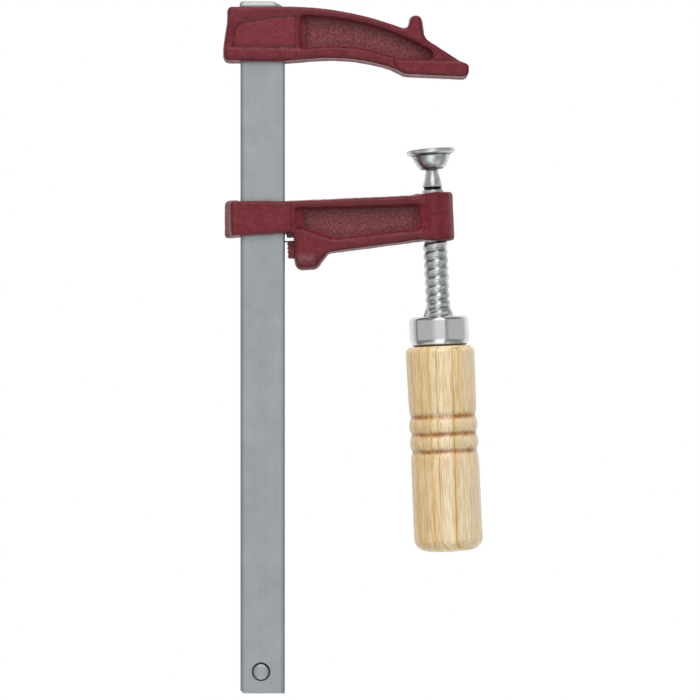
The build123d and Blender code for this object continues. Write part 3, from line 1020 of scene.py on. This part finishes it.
def makeSpindle(values):
    piece = makeThread(values)
    ball, ballHeight, neckTop = values["ball"], values["ballHeight"], values["neckTop"]
    neckBottom, collar, shoulder = values["neckBottom"], values["collar"], values["collarTop"]
    top, bottom, end = values["top"], values["bottom"], values["shankEnd"]
    neckStart = ballHeight - math.sqrt(ball ** 2 - neckTop ** 2)
    neck = turn("neck", [
        (0, neckStart + 0.6),
        (neckTop, neckStart + 0.6),
        (neckTop + 0.05, neckStart),
        (neckBottom, shoulder + 0.95, 0.4),
        (neckBottom - 0.5, shoulder + 0.7),
        (neckBottom - 0.5, shoulder - 0.2),
        (collar - 0.3, shoulder - 0.2, 0.1),
        (collar, shoulder - 0.6, 0.2),
        (collar, top - 0.3, 0.2),
        (values["root"], top - 0.8),
        (0, top - 0.8),
    ])
    cutWith(piece, neck, "UNION")
    deselectAll()
    bpy.ops.mesh.primitive_uv_sphere_add(
        segments=48, ring_count=24, radius=ball * mm, location=(0, 0, ballHeight * mm)
    )
    cutWith(piece, bpy.context.object, "UNION")
    shank = values["shank"] - 0.05
    cutWith(piece, turn("shank", [
        (0, bottom + 1),
        (shank - 0.25, bottom + 1),
        (shank, bottom),
        (shank, end + 1),
        (shank - 1, end),
        (0, end),
    ], 48), "UNION")
    for side in (1, -1):
        cutWith(piece, makeWing(values, side), "UNION")
    piece.name = "spindleScrew"
    closeUp(piece, 0.002)
    addReading(piece, "grime", atEach(piece, threadGrime))
    shadeSmooth(piece, 40)
    lean(piece)
    return piece


takePlace(makeSpindle(screw), "screw", "zinc_steel", screwZinc, "spindle")


# Swivel pad

pad = {
    "top": 4.6,
    "radius": 9.8,
    "flangeUnder": 2.8,
    "cupTop": (7.9, 1.9),
    "cupBottom": (4.4, -3.6),
    "mouth": 3.5,
    "chamber": 4.7,
    "ownLean": 2.0,
    "grease": 0.75,
    # a painted dark reflection down the left of the cup
    "smear": 0.6,
    "smearTurn": -128.0,  # degrees round from +X, the same on the front and the back
    "smearWidth": 26.0,
}


def padGrime(place):
    # painted shade, with grease, under the flange and round the mouth, and a painted dark reflection down
    # the left of the cup
    radius, height = math.hypot(place.x, place.y), place.z - screw["ballHeight"]
    if height > pad["flangeUnder"] + 0.1:
        return 0.0
    underFlange = height > pad["flangeUnder"] - 0.9 and radius < pad["radius"] - 1.2
    if underFlange or height < pad["cupBottom"][1] + 0.7:
        return pad["grease"]
    turned = math.degrees(math.atan2(-abs(place.y), place.x))
    return pad["smear"] * max(0.0, 1.0 - abs(turned - pad["smearTurn"]) / pad["smearWidth"])


def makePad(values):
    # heights are counted from the ball's centre
    centre = screw["ballHeight"]
    radius, under = values["radius"], values["flangeUnder"]
    cup, cupTop = values["cupTop"]
    foot, cupBottom = values["cupBottom"]
    profile = [
        (0, values["top"]),
        (radius, values["top"], 0.75),
        (radius, under, 0.75),
        (cup + 0.3, under - 0.4, 0.2),
        (cup - 0.2, cupTop - 0.2, 0.3),
        (7.2, 0.2, 0.8),
        (6.0, -2.0, 1.0),
        (foot, cupBottom, 0.4),
        (values["mouth"], cupBottom, 0.05),
        (values["mouth"], -2.7),
        (values["chamber"], -1.0, 0.5),
        (values["chamber"], 0.1),
        (3.8, 0.1),
        (3.3, 1.9, 0.6),
        (1.9, 3.3, 0.6),
        (0, 3.8),
    ]
    piece = turn("swivelPad", [
        (across, height + centre, *rounding) for across, height, *rounding in profile
    ])
    addReading(piece, "grime", atEach(piece, padGrime))
    shadeSmooth(piece, 40)
    lean(piece, values["ownLean"], (0, 0, centre))
    lean(piece)
    return piece


takePlace(makePad(pad), "pad", "zinc_steel", padZinc, "swivel_pad")


# Ferrule

ferrule = {
    "radius": 12.15,
    "top": -101.1,
    "bottom": -112.9,
    "wall": 0.9,
    "topRound": 1.8,
    "curl": (2.7, 0.55),  # height and depth of the turned-in lower rim
}


def makeFerrule(values):
    radius, top, bottom, wall = values["radius"], values["top"], values["bottom"], values["wall"]
    curlHeight, curlDepth = values["curl"]
    inner, bore = radius - wall, screw["shank"] + 0.05
    piece = turn("ferruleCup", [
        (bore, top),
        (radius, top, values["topRound"]),
        (radius, bottom + 0.9 * curlHeight, 0.3),
        (radius - 0.8 * curlDepth, bottom + 0.4 * curlHeight, 0.6),
        (radius - 1.7 * curlDepth, bottom + 0.1, 0.2),
        (radius - 1.9 * curlDepth, bottom),
        (inner - curlDepth + 0.1, bottom),
        (inner - curlDepth + 0.1, bottom + 0.6 * curlHeight),
        (inner + 0.05, bottom + curlHeight),
        (inner + 0.05, top - wall - 1),
        (inner - 0.95, top - wall),
        (bore, top - wall),
        (bore, top),
    ], 128)
    shadeSmooth(piece, 40)
    lean(piece)
    return piece


takePlace(makeFerrule(ferrule), "screw", "ferrule_chrome", chrome, "ferrule")


# Handle

handle = {
    "shoulder": 12.4,
    "seam": 0.35,  # dark gap under the ferrule
    "topRadius": 14.05,
    "waist": 13.8,
    "endRadius": 14.0,
    "groove": 12.95,
    "end": -196.7,
}


def handleGrime(place):
    # painted shade: the seam under the ferrule is drawn dark
    deep = math.hypot(place.x, place.y) < handle["shoulder"] - 0.25
    return 0.9 if deep and place.z > ferrule["bottom"] - 1 else 0.0


def makeHandle(values):
    neck = ferrule["radius"] - ferrule["wall"] - 0.05
    neckTop = ferrule["top"] - ferrule["wall"] - 0.1
    rim, seam = ferrule["bottom"], ferrule["bottom"] - values["seam"]
    curlHeight, curlDepth = ferrule["curl"]
    bore, boreEnd = screw["shank"], screw["shankEnd"] - 0.1
    waist, groove, swell = values["waist"], values["groove"], values["waist"] + 0.15
    end, endRadius = values["end"], values["endRadius"]
    first, second, third = beech["grooves"]
    piece = turn("woodHandle", [
        (bore, neckTop),
        (neck - 1, neckTop),
        (neck, neckTop - 1),
        (neck, rim + curlHeight),
        (neck - curlDepth, rim + curlHeight),
        (neck - curlDepth, seam),
        (values["shoulder"], seam, 0.3),
        (values["topRadius"], rim - 1.9, 1.0),
        (waist, first + 3.6, 1.5),
        (waist - 0.15, first + 1.9, 0.8),
        (groove, first, 0.5),
        (swell, first - 1.9, 1.2),
        (swell, second + 1.9, 1.2),
        (groove, second, 0.5),
        (swell, second - 1.9, 1.2),
        (swell, third + 1.9, 1.2),
        (groove, third, 0.5),
        (waist - 0.1, third - 1.9, 0.8),
        (endRadius - 0.1, third - 5.0, 1.5),
        (endRadius, end + 5),
        (endRadius, end + 1.2, 4.4),
        (endRadius - 5.0, end + 0.1, 1.5),
        (0, end),
        (0, boreEnd),
        (bore, boreEnd),
        (bore, neckTop),
    ], 128)
    addReading(piece, "grime", atEach(piece, handleGrime))
    shadeSmooth(piece, 40)
    lean(piece)
    return piece


takePlace(makeHandle(handle), "screw", "handle_wood", handleWood, "handle")


# The friction spring and the pad's ring keep their solids' shapes

for node in ("friction_spring", "pad_retaining_ring"):
    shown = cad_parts[node]
    shown.data.materials.clear()
    shown.data.materials.append(springSteel)


# Floor, light and camera

studio = {
    "floorDrop": 200.0,  # below the bar's end, clear of the handle at its lowest
    "floorColour": "#e6e6e4",
    "floorGlow": 0.5,  # lifts the floor to white where the camera sees it
    "lightBelow": 0.27,  # what the room gives a matt surface that faces down
    "lightAbove": 0.8,  # and one that faces up
    "window": 0.9,  # a tall window behind the camera, seen in polished metal
    "windowTop": 2.1,  # brighter towards the ceiling
    "windowFoot": 1.5,  # and the white table
    "windowLeft": (-34, -6),  # its left edge fades, in degrees round from the camera
    "windowRight": (19, 25),
    "gap": (25, 40),  # a dark gap beside it
    "gapLight": 0.36,
    "side": 0.6,
    "sideHigh": 0.28,  # the room well above and below eye level at the sides
    "table": 0.8,  # the white table, some way below
    "underneath": 0.3,  # share that is left straight below, in the clamp's own shade
    "behindFrom": (106, 130),  # past here metal mirrors the white background
    "topFade": (0.15, 0.5),  # heights at which these change, from -1 straight down to 1 straight up
    "footFade": (-0.15, -0.5),
    "sideFade": (0.2, 0.5),
    "tableFade": (-0.58, -0.7),
    "underneathFade": (-0.78, -0.9),
}


def addFloorPaint(add, place, values):
    # Matt white, glowing a little where the camera sees it directly
    seen = add("LightPath")
    glow = add("Math", {
        "operation": "MULTIPLY", 0: seen.outputs["Is Camera Ray"], 1: values["floorGlow"],
    })
    return add("BsdfPrincipled", {
        "Base Color": values["floorColour"], "Roughness": 0.8, "Emission Color": (1, 1, 1, 1),
        "Emission Strength": glow,
    })


def makeFloor(values):
    deselectAll()
    height = bar["bottom"] - values["floorDrop"]
    bpy.ops.mesh.primitive_plane_add(size=1.6, location=(-0.03, 0.1, height * mm))
    floor = bpy.context.object
    floor.name = "floor"
    floor.visible_glossy = False
    floor.data.materials.append(newMaterial("Pale floor", addFloorPaint, values))


def makeWorld(values):
    # what metal mirrors goes by the direction round the object, counted from the camera
    world = bpy.data.worlds.new("Studio")
    bpy.context.scene.world = world
    add = startNodes(world)
    axes = add("SeparateXYZ", {0: add("TexCoord").outputs["Generated"]})
    up = axes.outputs["Z"]
    level = add("Math", {"operation": "ABSOLUTE", 0: up})
    towards = add("Math", {"operation": "MULTIPLY", 0: axes.outputs["Y"], 1: -1.0})
    turned = add("Math", {"operation": "ARCTAN2", 0: axes.outputs["X"], 1: towards})
    around = add("Math", {"operation": "DEGREES", 0: turned})
    aside = add("Math", {"operation": "ABSOLUTE", 0: around})
    fades = {}
    for name, value, low, high in (
        ("windowLeft", around, 0.0, 1.0),
        ("windowRight", around, 0.0, 1.0),
        ("gap", around, 0.0, 1.0),
        ("behindFrom", aside, 0.0, 1.0),
        ("topFade", up, 0.0, values["windowTop"] - values["window"]),
        ("footFade", up, values["window"], values["windowFoot"]),
        ("sideFade", level, values["side"], values["sideHigh"]),
        ("tableFade", up, 0.0, 1.0),
        ("underneathFade", up, 1.0, values["underneath"]),
    ):
        fades[name] = add("MapRange", {
            "interpolation_type": "SMOOTHSTEP", "From Min": values[name][0],
            "From Max": values[name][1], "To Min": low, "To Max": high, "Value": value,
        })
    windowLight = add("Math", {"operation": "ADD", 0: fades["topFade"], 1: fades["footFade"]})
    window = add("Math", {"operation": "SUBTRACT", 0: fades["windowLeft"], 1: fades["windowRight"]})
    wall = add("Mix", {
        "data_type": "FLOAT", "Factor": fades["tableFade"], "A": fades["sideFade"],
        "B": values["table"],
    })
    leftHalf = add("Math", {"operation": "LESS_THAN", 0: around, 1: 0.0})
    pastGap = add("Math", {"operation": "MAXIMUM", 0: fades["gap"], 1: leftHalf})
    sides = add("Mix", {"data_type": "FLOAT", "Factor": pastGap, "A": values["gapLight"], "B": wall})
    room = add("Mix", {"data_type": "FLOAT", "Factor": window, "A": sides, "B": windowLight})
    shaded = add("Math", {"operation": "MULTIPLY", 0: room, 1: fades["underneathFade"]})
    mirrored = add("Mix", {"data_type": "FLOAT", "Factor": fades["behindFrom"], "A": shaded, "B": 1.0})
    rays = add("LightPath")
    polished = add("Math", {
        "operation": "MAXIMUM", 0: rays.outputs["Is Glossy Ray"],
        1: rays.outputs["Is Transmission Ray"],
    })
    matt = add("MapRange", {
        "From Min": -1.0, "To Min": values["lightBelow"], "To Max": values["lightAbove"], "Value": up,
    })
    forLight = add("Mix", {"data_type": "FLOAT", "Factor": polished, "A": matt, "B": mirrored})
    strength = add("Mix", {
        "data_type": "FLOAT", "Factor": rays.outputs["Is Camera Ray"], "A": forLight, "B": 1.0,
    })
    background = add("Background", {"Color": (1, 1, 1, 1), "Strength": strength})
    add("OutputWorld", {"Surface": background})


softboxes = {
    "keySoftbox": {"place": (-0.1, -0.65, 1.1), "size": (0.9, 0.6), "power": 13.5},
    "fillSoftbox": {"place": (-0.02, -1.35, 0.1), "size": (0.7, 0.9), "power": 2.3},
}


def addSoftbox(name, values, target=(-0.03, 0, -0.1)):
    # hidden from metal, because the world draws what metal mirrors
    deselectAll()
    bpy.ops.object.light_add(type="AREA", location=values["place"])
    lamp = bpy.context.object
    lamp.name = name
    lamp.data.shape = "RECTANGLE"
    lamp.data.size, lamp.data.size_y = values["size"]
    lamp.data.energy = values["power"]
    lamp.visible_glossy = False
    lamp.rotation_euler = (Vector(target) - Vector(values["place"])).to_track_quat("-Z", "Y").to_euler()


makeFloor(studio)
makeWorld(studio)
for name, values in softboxes.items():
    addSoftbox(name, values)

camera = {
    "distance": 1.3,
    "centre": (-33.94, -111.2),  # the point of the bar's plane at the picture's middle
    "across": 285.25,  # width of that plane in the picture
    "sensor": 36.0,
}
deselectAll()
bpy.ops.object.camera_add(
    location=(camera["centre"][0] * mm, -camera["distance"], camera["centre"][1] * mm),
    rotation=(math.pi / 2, 0, 0),
)
viewpoint = bpy.context.object
viewpoint.data.sensor_width = camera["sensor"]
viewpoint.data.lens = camera["sensor"] * camera["distance"] / (camera["across"] * mm)
bpy.context.scene.camera = viewpoint
bpy.context.scene.view_settings.view_transform = "Standard"
print("studio made")
